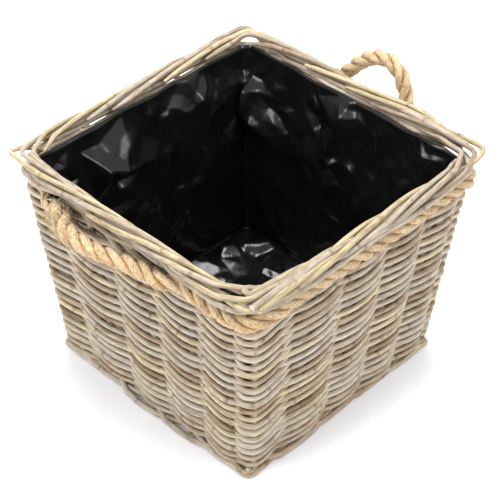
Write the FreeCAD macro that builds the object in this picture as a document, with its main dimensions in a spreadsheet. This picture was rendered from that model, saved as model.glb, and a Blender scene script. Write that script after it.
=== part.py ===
"""Square tapered log basket of woven rattan rods, with a rope course, two rope handles and a film liner.

Frame: millimetres, +Z up, origin on the floor under the middle of the basket.
The four sides are numbered 1 to 4: side 1 faces -Y, 2 faces +X, 3 faces +Y and 4 faces -X.
Sides 1 and 3 carry the handles.
"""
import FreeCAD, Part
import math
import os

VECTOR = FreeCAD.Vector
Z_AXIS = VECTOR(0, 0, 1)

# Driving dimensions: alias, value in millimetres (or a plain ratio), what it is.
SIZES = [
    ("rim_half", 215.0, "half the outer width of the border"),
    ("total_height", 325.0, "floor to the top of the border"),
    ("wall_low_z", 8.0, "bottom of the woven wall"),
    ("wall_high_z", 307.0, "top of the last course under the border"),
    ("wall_low_half", 176.0, "half the outer width of the wall at its bottom"),
    ("wall_high_half", 205.0, "half the outer width of the wall at its top"),
    ("wall_thick", 18.0, "one stake and a rod on each side of it"),
    ("corner_cut", 12.0, "how far the weave cuts off each corner, along the side"),
    ("weave_high_z", 273.0, "top of the weave below the rope"),
    ("course_low_z", 295.5, "bottom of the courses above the rope"),
    ("stake_dia", 8.0, "upright stake"),
    ("bore_dia", 8.6, "hole that the weave leaves round a stake"),
    ("stake_gap", 0.3, "end clearance of a stake"),
    ("first_place", 0.95, "place of the first stake of a side along the half side, beside its corner"),
    ("last_place", 0.76, "place of the last stake of a side along the half side"),
    ("side_place", 0.40, "place of a side stake along the half side"),
    ("rope_dia", 21.0, "three-strand rope"),
    ("rope_z", 284.0, "height of the rope course"),
    ("rope_half", 203.8, "distance of the rope's middle from the basket's middle"),
    ("rope_bend", 20.0, "radius of the rope's middle round a corner"),
    ("rope_step", 12.2, "how far the rope stands off the course where a handle begins"),
    ("rope_step_run", 22.0, "length along the side of the bend that brings it there"),
    ("rope_step_end", 12.0, "straight stretch after that bend, on the hinge line"),
    ("rope_gap", 0.6, "gap between a handle and the end of its rope course"),
    ("rim_outer_dia", 11.0, "outer rod bundle of the border"),
    ("rim_outer_z", 312.6, "its height"),
    ("rim_inner_dia", 10.0, "inner rod bundle of the border"),
    ("rim_inner_half", 193.5, "its distance from the middle"),
    ("rim_inner_z", 312.5, "its height"),
    ("rim_top_dia", 10.0, "top rod bundle of the border"),
    ("rim_top_half", 201.5, "its distance from the middle"),
    ("foot_rod_dia", 9.0, "rod of the foot border"),
    ("foot_rod_z", 4.2, "height of its middle; the floor cuts it flat"),
    ("foot_rod_step", 8.0, "distance between the two foot rods"),
    ("base_half", 157.5, "half the width of the woven base"),
    ("base_low_z", 8.0, "underside of the base"),
    ("base_thick", 14.0, "thickness of the base weave"),
    ("base_stick_dia", 8.0, "stick that runs through the base weave"),
    ("base_stick_step", 62.0, "distance between base sticks"),
    ("liner_gap", 0.5, "gap between the liner and the weave"),
    ("liner_thick", 1.0, "liner film with its folds, as one skin"),
    ("liner_high_z", 306.4, "top edge of the liner, under the border"),
]

SIDES = (1, 2, 3, 4)
ROOT_TWO = "1.41421356"
EIGHTH_TURN = 45.0      # degrees: a mitre, and half of a bend round a corner
BORE_OVERRUN = 0.1      # share of a stake's length that its hole runs on past each end
ARC_REACH = 0.45        # share of the shorter run that an arc of a route takes up
VOLUME_TOLERANCE = 0.01
BASE_STICKS = (-2, -1, 0, 1, 2)

# Route of the front handle: place along the side, and how far it stands off the hinge line.
FRONT_ROUTE = [(-118, 0), (-100, 0), (-84, 14), (-46, 15), (8, 6), (40, 0), (58, 0)]
FRONT_LEAN = 115.0      # degrees from straight up, outward

# Route of the back handle: along the side, outward from the hinge line, up from the hinge line.
BACK_ROUTE = [(-122, 0, 0), (-104, 0, 0), (-78, 9, 3), (-46, 12, 20), (-22, 12, 52), (8, 12, 74), (32, 12, 77),
              (50, 12, 64), (61, 12, 30), (69, 6, 8), (90, 0, 0), (105, 0, 0)]

doc = FreeCAD.newDocument("log_basket")
sheet = doc.addObject("Spreadsheet::Sheet", "Sizes")
for row, (alias, value, note) in enumerate(SIZES, start=1):
    sheet.set("A%d" % row, note)
    sheet.set("B%d" % row, str(value))
    sheet.setAlias("B%d" % row, alias)
doc.recompute()
ALIASES = {alias for alias, _, _ in SIZES}
UPRIGHT = FreeCAD.Placement(VECTOR(), FreeCAD.Rotation(VECTOR(1, 0, 0), 90))
nodes = []


def size(alias):
    """A driving dimension as a number."""
    return float(sheet.get(alias))


def derive(alias, value, note):
    """A size worked out from the driving dimensions, kept in the sheet under its own alias."""
    row = len(ALIASES) + 1
    sheet.set("A%d" % row, note)
    sheet.set("B%d" % row, str(value))
    sheet.setAlias("B%d" % row, alias)
    ALIASES.add(alias)


def bind(item, sizes):
    """Bind an object's properties to sheet expressions, where a size is written by its alias."""
    for key, text in sizes.items():
        words = ["Sizes." + word if word in ALIASES else word for word in text.split()]
        item.setExpression(key, " ".join(words))
    return item


def make(kind, name, sizes, placement=None):
    """A Part primitive with bound sizes."""
    item = bind(doc.addObject(kind, name), sizes)
    if placement is not None:
        item.Placement = placement
    return item


def boolean(kind, name, base, tool):
    item = doc.addObject(kind, name)
    item.Base = base
    item.Tool = tool
    return item


def node(item, label):
    """Mark an object as a finished piece, which gets a file of its own."""
    item.Label = label
    nodes.append(item)
    return item


def turn(side):
    """The rotation that carries side 1 to this side."""
    return FreeCAD.Placement(VECTOR(), FreeCAD.Rotation(Z_AXIS, 90 * (side - 1)))


def along(start, direction):
    """A placement whose own Z runs from start in the given direction."""
    return FreeCAD.Placement(start, FreeCAD.Rotation(Z_AXIS, direction))


def frustum(name, low_z, high_z, low_half, high_half):
    """A square block that widens upward; the wedge's own Y is the height."""
    return make("Part::Wedge", name, {
        "Ymin": low_z, "Ymax": high_z,
        "Xmin": "0 - ( %s )" % low_half, "Xmax": low_half, "Zmin": "0 - ( %s )" % low_half, "Zmax": low_half,
        "X2min": "0 - ( %s )" % high_half, "X2max": high_half,
        "Z2min": "0 - ( %s )" % high_half, "Z2max": high_half}, UPRIGHT)


def quarter(name, side, low_z, high_z):
    """The quarter of the plan that belongs to one side, between two heights, with 45 degree mitres."""
    reach = "2 * rim_half"
    return make("Part::Wedge", name, {
        "Ymin": "0 - " + reach, "Ymax": "0", "Zmin": low_z, "Zmax": high_z, "Z2min": low_z, "Z2max": high_z,
        "Xmin": "0 - " + reach, "Xmax": reach, "X2min": "0", "X2max": "0"}, turn(side))


def wall_half(z):
    """Half the outer width of the wall at a height."""
    rise = (z - size("wall_low_z")) / (size("wall_high_z") - size("wall_low_z"))
    return size("wall_low_half") + rise * (size("wall_high_half") - size("wall_low_half"))


def stake_line(place, z):
    """Where a stake of side 1 stands at a height: it leans out with the middle of the wall."""
    middle = wall_half(z) - size("wall_thick") / 2
    return VECTOR(place * middle, -middle, z)


def wall_shell():
    """The whole wall: a square funnel with its four corners cut off, and hollow inside."""
    square = frustum("wall_square", "wall_low_z", "wall_high_z", "wall_low_half", "wall_high_half")
    cut_low = "( wall_low_half * 2 - corner_cut ) / " + ROOT_TWO
    cut_high = "( wall_high_half * 2 - corner_cut ) / " + ROOT_TWO
    diamond = frustum("wall_diamond", "wall_low_z", "wall_high_z", cut_low, cut_high)
    diamond.Placement = FreeCAD.Placement(VECTOR(), FreeCAD.Rotation(Z_AXIS, EIGHTH_TURN)).multiply(UPRIGHT)
    outside = boolean("Part::Common", "wall_outside", square, diamond)
    inside = frustum("wall_inside", "wall_low_z", "wall_high_z",
                     "wall_low_half - wall_thick", "wall_high_half - wall_thick")
    return boolean("Part::Cut", "wall_shell", outside, inside)


def rod_along_side(name, side, dia, half, z):
    """A straight rod along one side, mitred at both corners."""
    reach = size("rim_half")
    start = turn(side).multVec(VECTOR(-reach, -half, z))
    direction = turn(side).multVec(VECTOR(1, 0, 0))
    rod = make("Part::Cylinder", name + "_rod", {"Radius": dia + " / 2", "Height": "2 * rim_half"},
               along(start, direction))
    mitre = quarter(name + "_mitre", side, "0", "2 * total_height")
    return boolean("Part::Common", name, rod, mitre)


def stakes(side):
    """The five stakes of a side, and the holes that the weave leaves for them."""
    bores = []
    low = size("wall_low_z") + size("stake_gap")
    high = size("wall_high_z") - size("stake_gap")
    places = (-size("first_place"), -size("side_place"), 0.0, size("side_place"), size("last_place"))
    for number, place in enumerate(places, start=1):
        foot = turn(side).multVec(stake_line(place, low))
        head = turn(side).multVec(stake_line(place, high))
        lean = head.sub(foot)
        stake = make("Part::Cylinder", "stake_%d_%d" % (side, number), {"Radius": "stake_dia / 2"},
                     along(foot, lean))
        stake.Height = lean.Length
        node(stake, "stake_%d_%d" % (side, number))
        bore = make("Part::Cylinder", "bore_%d_%d" % (side, number), {"Radius": "bore_dia / 2"},
                    along(foot.sub(VECTOR(lean).multiply(BORE_OVERRUN)), lean))
        bore.Height = (1 + 2 * BORE_OVERRUN) * lean.Length
        bores.append(bore)
    group = doc.addObject("Part::Compound", "bores_%d" % side)
    group.Links = bores
    return group


def woven_band(label, side, shell, bores, low_z, high_z):
    """One side of the weave between two heights, with a hole round each stake."""
    name = "%s_%d" % (label, side)
    part = boolean("Part::Common", name + "_part", shell, quarter(name + "_quarter", side, low_z, high_z))
    node(boolean("Part::Cut", name, part, bores), name)


def round_route(points):
    """Straight runs joined by tangent arcs that take up most of the shorter run beside them."""
    edges = []
    here = points[0]
    radii = []
    for before, point, after in zip(points, points[1:], points[2:]):
        back = before.sub(point)
        ahead = after.sub(point)
        bend = math.pi - back.getAngle(ahead)
        shorter = min(back.Length, ahead.Length)
        reach = ARC_REACH * shorter
        radii.append(reach / math.tan(bend / 2))
        first = point.add(VECTOR(back).normalize().multiply(reach))
        last = point.add(VECTOR(ahead).normalize().multiply(reach))
        inward = VECTOR(back).normalize().add(VECTOR(ahead).normalize()).normalize()
        to_centre = radii[-1] / math.cos(bend / 2)
        middle = point.add(inward.multiply(to_centre - radii[-1]))
        edges.append(Part.LineSegment(here, first).toShape())
        edges.append(Part.Arc(first, middle, last).toShape())
        here = last
    edges.append(Part.LineSegment(here, points[-1]).toShape())
    return Part.Wire(edges), radii


def swept_rope(label, side, half, offsets):
    """Rope along a rounded route on one side, whose points are along the side, outward and up."""
    turned = turn(side)
    points = [turned.multVec(VECTOR(x, -half - out, size("rope_z") + up)) for x, out, up in offsets]
    wire, radii = round_route(points)
    print(label, "length %.1f" % wire.Length, "radii", ["%.0f" % radius for radius in radii])
    spine = doc.addObject("Part::Feature", label + "_route")
    spine.Shape = wire
    section = make("Part::Circle", label + "_section", {"Radius": "rope_dia / 2"},
                   along(points[0], points[1].sub(points[0])))
    sweep = doc.addObject("Part::Sweep", label + "_sweep")
    sweep.Sections = [section]
    sweep.Spine = (spine, ["Edge%d" % (index + 1) for index in range(len(wire.Edges))])
    sweep.Solid = True
    sweep.Frenet = False
    return sweep, math.pi * (size("rope_dia") / 2) ** 2 * wire.Length


def handle(label, side, offsets):
    """A rope handle, whose two ends lie on the hinge line."""
    sweep, volume = swept_rope(label, side, size("rope_half") + size("rope_step"), offsets)
    node(sweep, label)
    swept[label] = volume


def rope_corner(label, side, x, first):
    """Half of the rope's bend round a corner, from the end of a side's straight stretch."""
    corner = make("Part::Torus", "%s_corner_%d" % (label, first), {"Radius1": "rope_bend", "Radius2": "rope_dia / 2"})
    corner.Angle3 = EIGHTH_TURN
    centre = VECTOR(x, size("rope_bend") - size("rope_half"), size("rope_z"))
    corner.Placement = turn(side).multiply(FreeCAD.Placement(centre, FreeCAD.Rotation(Z_AXIS, first)))
    return corner


def rope_run(label, side, start, end):
    """Rope held in the weave of one side. An end that isn't given goes half way round a corner."""
    straight = size("rope_half") - size("rope_bend")
    first = -straight if start is None else start
    last = straight if end is None else end
    offsets = [(first, 0, 0), (last, 0, 0)]
    lead = size("rope_step_end")
    step = size("rope_step")
    run = lead + size("rope_step_run")
    if start is not None:
        offsets[:1] = [(first, step, 0), (first + lead, step, 0), (first + run, 0, 0)]
    if end is not None:
        offsets[-1:] = [(last - run, 0, 0), (last - lead, step, 0), (last, step, 0)]
    pieces = [swept_rope(label, side, size("rope_half"), offsets)[0]]
    if start is None:
        pieces.append(rope_corner(label, side, first, 270 - EIGHTH_TURN))
    if end is None:
        pieces.append(rope_corner(label, side, last, 270))
    whole = doc.addObject("Part::MultiFuse", label + "_whole")
    whole.Shapes = pieces
    node(boolean("Part::Cut", label, whole, bores_of[side]), label)


def rope():
    """The rope course in six runs, broken at the two handles, and the handles."""
    gap = size("rope_gap")
    rope_run("rope_front_left", 1, None, FRONT_ROUTE[0][0] - gap)
    rope_run("rope_front_right", 1, FRONT_ROUTE[-1][0] + gap, None)
    rope_run("rope_right", 2, None, None)
    rope_run("rope_back_right", 3, None, -BACK_ROUTE[-1][0] - gap)
    rope_run("rope_back_left", 3, -BACK_ROUTE[0][0] + gap, None)
    rope_run("rope_left", 4, None, None)
    lean = math.radians(FRONT_LEAN)
    handle("front_handle", 1, [(x, off * math.sin(lean), off * math.cos(lean)) for x, off in FRONT_ROUTE])
    handle("back_handle", 3, [(-x, out, up) for x, out, up in reversed(BACK_ROUTE)])


def border(side):
    """The rolled border of one side, as its outer, inner and top rod bundles."""
    outer_half = size("rim_half") - size("rim_outer_dia") / 2
    top_z = size("total_height") - size("rim_top_dia") / 2
    for label, dia, half, z in (("border_outer", "rim_outer_dia", outer_half, size("rim_outer_z")),
                                ("border_inner", "rim_inner_dia", size("rim_inner_half"), size("rim_inner_z")),
                                ("border_top", "rim_top_dia", size("rim_top_half"), top_z)):
        name = "%s_%d" % (label, side)
        node(rod_along_side(name, side, dia, half, z), name)


def foot(side):
    """The foot border of one side: two rods side by side, worn flat where they stand on the floor."""
    name = "foot_border_%d" % side
    middle = size("wall_low_half") - size("wall_thick") / 2
    step = size("foot_rod_step") / 2
    outer = rod_along_side(name + "_outer", side, "foot_rod_dia", middle + step, size("foot_rod_z"))
    inner = rod_along_side(name + "_inner", side, "foot_rod_dia", middle - step, size("foot_rod_z"))
    pair = boolean("Part::Fuse", name + "_pair", outer, inner)
    band = quarter(name + "_band", side, "0", "wall_low_z")
    node(boolean("Part::Common", name, pair, band), name)


def base():
    """The woven base panel on its five sticks."""
    panel = make("Part::Box", "base_panel", {
        "Length": "2 * base_half", "Width": "2 * base_half", "Height": "base_thick"},
        FreeCAD.Placement(VECTOR(-size("base_half"), -size("base_half"), size("base_low_z")), FreeCAD.Rotation()))
    middle_z = size("base_low_z") + size("base_thick") / 2
    holes = []
    for number, count in enumerate(BASE_STICKS, start=1):
        start = VECTOR(count * size("base_stick_step"), -size("base_half"), middle_z)
        stick = make("Part::Cylinder", "base_stick_%d" % number,
                     {"Radius": "base_stick_dia / 2", "Height": "2 * base_half"}, along(start, VECTOR(0, 1, 0)))
        node(stick, "base_stick_%d" % number)
        hole = make("Part::Cylinder", "base_hole_%d" % number,
                    {"Radius": "base_stick_dia / 2 + stake_gap", "Height": "2 * base_half"},
                    along(start, VECTOR(0, 1, 0)))
        holes.append(hole)
    group = doc.addObject("Part::Compound", "base_holes")
    group.Links = holes
    node(boolean("Part::Cut", "base_weave", panel, group), "base_weave")


def liner():
    """The film bag that lines the basket, open at the top."""
    low_z = size("base_low_z") + size("base_thick") + size("liner_gap")
    inset = size("wall_thick") + size("liner_gap")
    slope = (size("wall_high_half") - size("wall_low_half")) / (size("wall_high_z") - size("wall_low_z"))
    derive("liner_low_z", low_z, "underside of the liner")
    derive("liner_low_half", wall_half(low_z) - inset, "half its width at the bottom")
    derive("liner_high_half", wall_half(size("liner_high_z")) - inset, "half its width at the top")
    derive("liner_lean", slope * size("liner_thick"), "how much wider it is one skin further up")
    doc.recompute()
    outside = frustum("liner_outside", "liner_low_z", "liner_high_z", "liner_low_half", "liner_high_half")
    inside = frustum("liner_inside", "liner_low_z + liner_thick", "liner_high_z",
                     "liner_low_half - liner_thick + liner_lean", "liner_high_half - liner_thick")
    node(boolean("Part::Cut", "liner", outside, inside), "liner")


shell = wall_shell()
bores_of = {}
swept = {}
for side in SIDES:
    bores_of[side] = stakes(side)
    woven_band("weave_wall", side, shell, bores_of[side], "wall_low_z", "weave_high_z")
    woven_band("top_course", side, shell, bores_of[side], "course_low_z", "wall_high_z")
    border(side)
    foot(side)
rope()
base()
liner()
doc.recompute()

for item in doc.Objects:
    bad = [state for state in item.State if state in ("Invalid", "Error")]
    if bad:
        raise RuntimeError("%s: %s" % (item.Name, item.State))
for item in nodes:
    if item.Shape.isNull() or not item.Shape.isValid() or len(item.Shape.Solids) != 1:
        raise RuntimeError("%s: not one valid solid" % item.Label)
for item in nodes:
    if item.Label in swept and abs(item.Shape.Volume / swept[item.Label] - 1) > VOLUME_TOLERANCE:
        raise RuntimeError("%s: volume %.0f, expected %.0f" % (item.Label, item.Shape.Volume, swept[item.Label]))

os.makedirs("parts", exist_ok=True)
for item in nodes:
    item.Shape.exportStep("parts/%s.step" % item.Label)
print(len(nodes), "nodes")
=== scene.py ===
"""Looks of the square wicker log basket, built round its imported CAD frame.

Metres, +Z up, floor at z = 0. Sides are numbered 1 to 4 as in the frame: they face -Y, +X, +Y and -X.
A place round the basket is one number q: side 1 is 0 to 1, side 2 is 1 to 2 and so on, seen from above
anticlockwise, and the middle of side 1 is q = 0.5.
"""

import math

import bpy
import numpy as np
from mathutils import Matrix, Vector
from mathutils.geometry import delaunay_2d_cdt


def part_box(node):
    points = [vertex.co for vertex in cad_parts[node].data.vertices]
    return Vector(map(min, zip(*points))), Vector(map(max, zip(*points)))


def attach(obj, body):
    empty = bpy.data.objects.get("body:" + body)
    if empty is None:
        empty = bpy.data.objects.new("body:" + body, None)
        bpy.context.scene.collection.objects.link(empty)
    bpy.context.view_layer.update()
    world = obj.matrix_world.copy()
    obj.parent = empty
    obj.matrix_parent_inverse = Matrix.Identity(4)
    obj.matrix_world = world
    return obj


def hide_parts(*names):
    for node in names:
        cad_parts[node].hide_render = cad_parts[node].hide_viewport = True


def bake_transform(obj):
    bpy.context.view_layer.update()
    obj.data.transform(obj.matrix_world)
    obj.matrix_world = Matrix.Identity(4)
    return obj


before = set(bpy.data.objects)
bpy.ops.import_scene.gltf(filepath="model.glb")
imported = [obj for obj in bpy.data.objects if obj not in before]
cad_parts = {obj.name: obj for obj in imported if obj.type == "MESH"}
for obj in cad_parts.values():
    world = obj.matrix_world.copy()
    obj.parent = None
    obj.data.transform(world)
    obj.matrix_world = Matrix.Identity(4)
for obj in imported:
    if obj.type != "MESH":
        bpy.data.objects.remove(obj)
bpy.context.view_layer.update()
rng = np.random.default_rng(11)  # every rod and fibre draws from this one, in turn
SIDES = (1, 2, 3, 4)
STAKES_A_SIDE = 5

# -------- sizes, from the frame where it has them
WALL_THICK = 0.018
wall_low, wall_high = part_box("weave_wall_1")
course_low, course_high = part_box("top_course_1")
WALL_Z = (wall_low.z, wall_high.z)
RIM_HALF = -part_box("border_outer_1")[0].y
RIM_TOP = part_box("border_top_1")[1].z
# Middle of the wall at its bottom, at the top of the weave and at the top of the courses.
MID_LOW, MID_HIGH = -wall_high.y + WALL_THICK / 2, -wall_low.y - WALL_THICK / 2
MID_TOP = -course_low.y - WALL_THICK / 2
LEAN = (MID_HIGH - MID_LOW) / (WALL_Z[1] - WALL_Z[0])
STAKE_PLACES = [sum(corner.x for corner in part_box("stake_1_%d" % n)) / (MID_LOW + MID_TOP)
                for n in range(1, STAKES_A_SIDE + 1)]  # along a side, from -1 to 1
STAKES_Q = np.array([side - 1 + (place + 1) / 2 for side in SIDES for place in STAKE_PLACES])
STAKE_COUNT = len(STAKES_Q)
STAKE_R = 0.0038
ROD_R = 0.0035
ROD_STEP = 0.0035  # length of one mesh step along a rod
WEAVE_SWING = 0.0067  # how far a weaver's middle swings from the wall's middle
CORNER_TIGHT, CORNER_TIGHT_REACH = 0.6, 0.04  # share of the swing lost at a corner, and its reach
ROWS = 39
WALL_BEND = 0.010  # corner radius of the wall's middle
ROPE_R = 0.0105
rope_low, rope_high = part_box("rope_right")
ROPE_Z = (rope_low.z + rope_high.z) / 2
ROPE_HALF = rope_high.x - ROPE_R


def unit(value):
    return np.clip(value, 0, 1)


def hump(apart, reach):
    """A smooth bump of height 1, which fades over a reach."""
    return np.exp(-(apart / reach) ** 2)


def wall_mid(z):
    """Half the width of the basket at the middle of its wall, at a height."""
    return MID_LOW + LEAN * (z - WALL_Z[0])


def ring(q, half, bend):
    """Points and outward normals round a square of this half width with rounded corners, at places q."""
    q = np.asarray(q, float)
    side = np.floor(q).astype(int) % 4
    w = 2 * (q - np.floor(q)) - 1
    half = np.broadcast_to(half, q.shape)
    a = np.abs(w) * half
    angle = unit((a - (half - bend)) / bend) * math.pi / 4
    x = np.where(a > half - bend, half - bend + bend * np.sin(angle), a) * np.sign(w)
    y = -(half - bend + bend * np.cos(angle))
    nx, ny = np.sin(angle) * np.sign(w), -np.cos(angle)
    turn = side * math.pi / 2
    c, s = np.cos(turn), np.sin(turn)
    return (np.stack([c * x - s * y, s * x + c * y], -1),
            np.stack([c * nx - s * ny, s * nx + c * ny], -1))


def waves(count, swing, turns, seed):
    """A smooth random wave in place and height, which closes on itself round the basket."""
    draw = np.random.default_rng(seed)
    parts = [(draw.integers(1, turns), draw.uniform(0, 2 * math.pi), draw.uniform(-40, 40),
              draw.normal()) for _ in range(count)]

    def value(q, z):
        total = sum(k * np.sin(n * q * math.pi / 2 + phase + z * rise) for n, phase, rise, k in parts)
        return swing * total / math.sqrt(count)
    return value


# -------- mesh helpers
SMOOTH_ROUNDS = 3
KNOT_REACH, KNOT_SWELL = 0.0028, 0.07  # a leaf scar: half its length, and how much it swells
CAP_INNER, CAP_RISE, CAP_DOME = 0.55, 0.0004, 0.0005  # a cut end's inner ring, and the heights of its dome


def smooth_line(points, spacing, closed=False):
    """A smooth line near the given points, cut into even steps."""
    line = np.asarray(points, float)
    for _ in range(SMOOTH_ROUNDS):
        ahead = np.roll(line, -1, axis=0) if closed else line[1:]
        here = line if closed else line[:-1]
        cut = np.stack([0.75 * here + 0.25 * ahead, 0.25 * here + 0.75 * ahead], 1).reshape(-1, 3)
        line = cut if closed else np.vstack([line[:1], cut, line[-1:]])
    if closed:
        line = np.vstack([line, line[:1]])
    return even_line(line, spacing)


def even_line(line, spacing):
    """The same line with points at even steps."""
    along = line_length(line)
    wanted = np.linspace(0, along[-1], max(3, int(round(along[-1] / spacing)) + 1))
    return np.stack([np.interp(wanted, along, line[:, axis]) for axis in range(3)], 1)


def line_length(line):
    """The length from the line's start to each of its points."""
    steps = np.linalg.norm(np.diff(line, axis=0), axis=1)
    return np.concatenate([[0], np.cumsum(steps)])


def carried_frame(line, first=(0, 0, 1)):
    """Tangent and two normals at each point, carried along the line without twisting."""
    tangent = np.gradient(line, axis=0)
    tangent /= np.linalg.norm(tangent, axis=1)[:, None]
    normal = np.array(first, float)
    normals = np.zeros_like(line)
    for index, t in enumerate(tangent):
        normal = normal - normal.dot(t) * t
        normal /= np.linalg.norm(normal)
        normals[index] = normal
    return tangent, normals, np.cross(tangent, normals)


def ring_quads(rings, sides, start=0):
    """Faces between closed rings of points, which are numbered from start."""
    index = start + np.arange(rings * sides).reshape(rings, sides)
    following = np.roll(index, -1, axis=1)
    return np.stack([index[:-1], following[:-1], following[1:], index[1:]], -1).reshape(-1, 4).tolist()


class Tubes:
    """Gathers round rods into one mesh, with the attributes that the materials read."""

    def __init__(self):
        self.verts, self.grain, self.faces, self.count = [], [], [], 0
        self.values = {"tone": [], "knot": [], "cut_end": [], "under": []}

    def keep(self, verts, grain, faces, **values):
        """Adds points with their faces and values. A value that isn't given is zero."""
        self.verts.append(verts)
        self.grain.append(grain)
        self.faces.extend(faces)
        self.count += len(verts)
        for key, parts in self.values.items():
            parts.append(np.full(len(verts), values.get(key, 0.0)))

    def add(self, line, radius, tone, sides=10, knots=(), twist=0.0, ridge=0.0,
            first=(0, 0, 1), oval=1.0):
        """One rod along a line. radius is a number or one per point; knots are places along it in metres."""
        tangent, normal, across = carried_frame(line, first)
        along = line_length(line)
        radius = np.broadcast_to(radius, along.shape).astype(float)
        knot = np.zeros(len(line))
        for place in knots:
            knot = np.maximum(knot, hump(along - place, KNOT_REACH))
        radius *= 1 + KNOT_SWELL * knot
        angle = np.linspace(0, 2 * math.pi, sides, endpoint=False)
        turned = angle + twist * along[:, None]
        size = radius[:, None] * (1 + ridge * np.cos(YARNS * turned))
        c, s = np.cos(angle) * size, np.sin(angle) * size
        points = (line[:, None, :] + c[..., None] * normal[:, None, :] * oval
                  + s[..., None] * across[:, None, :] / oval)
        seed = rng.uniform(0, 50)
        grain = np.stack([np.broadcast_to(along[:, None] + seed, turned.shape),
                          np.cos(turned) * radius[:, None], np.sin(turned) * radius[:, None]], -1)
        # How low each point sits on its rod: the rattan is darkened there with painted shade and some dirt.
        under = -((points - line[:, None, :])[..., 2] / radius[:, None]).ravel()
        self.keep(points.reshape(-1, 3), grain.reshape(-1, 3), ring_quads(len(line), sides, self.count),
                  tone=tone, knot=np.repeat(knot, sides), under=under)
        self.cap(points[0], line[0], -tangent[0], tone, seed, -1)
        self.cap(points[-1], line[-1], tangent[-1], tone, seed, 1)

    def cap(self, rim, middle, outward, tone, seed, order):
        """A slightly domed cut end, with vertices of its own so that it stays crisp."""
        inner = middle + (rim - middle) * CAP_INNER + outward * CAP_RISE
        verts = np.vstack([rim, inner, middle + outward * CAP_DOME])
        sides, start, faces = len(rim), self.count, []
        for k in range(sides):
            n = (k + 1) % sides
            faces.append([start + k, start + n, start + sides + n, start + sides + k][::order])
            faces.append([start + sides + k, start + sides + n, start + 2 * sides][::order])
        self.keep(verts, verts * 0.7 + seed, faces, tone=tone, cut_end=1.0)

    def add_hair(self, line, radius, tone):
        """A loose fibre: three sides and no ends."""
        _, normal, across = carried_frame(line, (0.3, 0.5, 0.8))
        corners = [normal, across - 0.5 * normal, -across - 0.5 * normal]
        points = np.stack([line + radius * corner for corner in corners], 1).reshape(-1, 3)
        self.keep(points, points, ring_quads(len(line), 3, self.count), tone=tone)

    def build(self, name, material, body, slot, nodes=()):
        """Makes the piece, rides it on a body and lets it stand for CAD nodes."""
        mesh = bpy.data.meshes.new(name)
        mesh.from_pydata(np.vstack(self.verts).tolist(), [], self.faces)
        layers = [("grain", "FLOAT_VECTOR", "vector", np.vstack(self.grain))]
        layers += [(key, "FLOAT", "value", np.concatenate(parts)) for key, parts in self.values.items()]
        for key, kind, field, data in layers:
            mesh.attributes.new(key, kind, "POINT").data.foreach_set(field, data.astype(np.float32).ravel())
        mesh.shade_smooth()
        return place_piece(name, mesh, material, body, nodes)


def new_object(name, data):
    made = bpy.data.objects.new(name, data)
    bpy.context.scene.collection.objects.link(made)
    return made


def place_piece(name, mesh, material, body, nodes=()):
    """Links a mesh as a piece."""
    mesh.update()
    mesh.materials.append(material)
    piece = new_object(name, mesh)
    if body:
        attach(piece, body)
    if nodes:
        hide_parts(*nodes)
    return piece


WOBBLE, WOBBLE_STEP = 0.035, 0.02  # a rod's thickness varies by this share, over this length
KNOT_FIRST, KNOT_GAP = 0.04, (0.09, 0.24)  # the first leaf scar, and the least and most between two


def rod_radius(line, radius, tapers=(0, 0), reach=0.02):
    """A rod's radius along its line: slow swelling, and ends thinner by these shares."""
    along = line_length(line)
    places = np.arange(0, along[-1] + 2 * WOBBLE_STEP, WOBBLE_STEP)
    radius = radius * (1 + np.interp(along, places, rng.normal(0, WOBBLE, len(places))))
    radius *= 1 - tapers[0] * unit(1 - along / reach)
    radius *= 1 - tapers[1] * unit(1 - (along[-1] - along) / reach)
    return radius


def random_knots(length):
    """Places of the leaf scars along a rod."""
    knots, place = [], rng.uniform(KNOT_FIRST, KNOT_GAP[1])
    while place < length - 0.01:
        knots.append(place)
        place += rng.uniform(*KNOT_GAP)
    return knots


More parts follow.
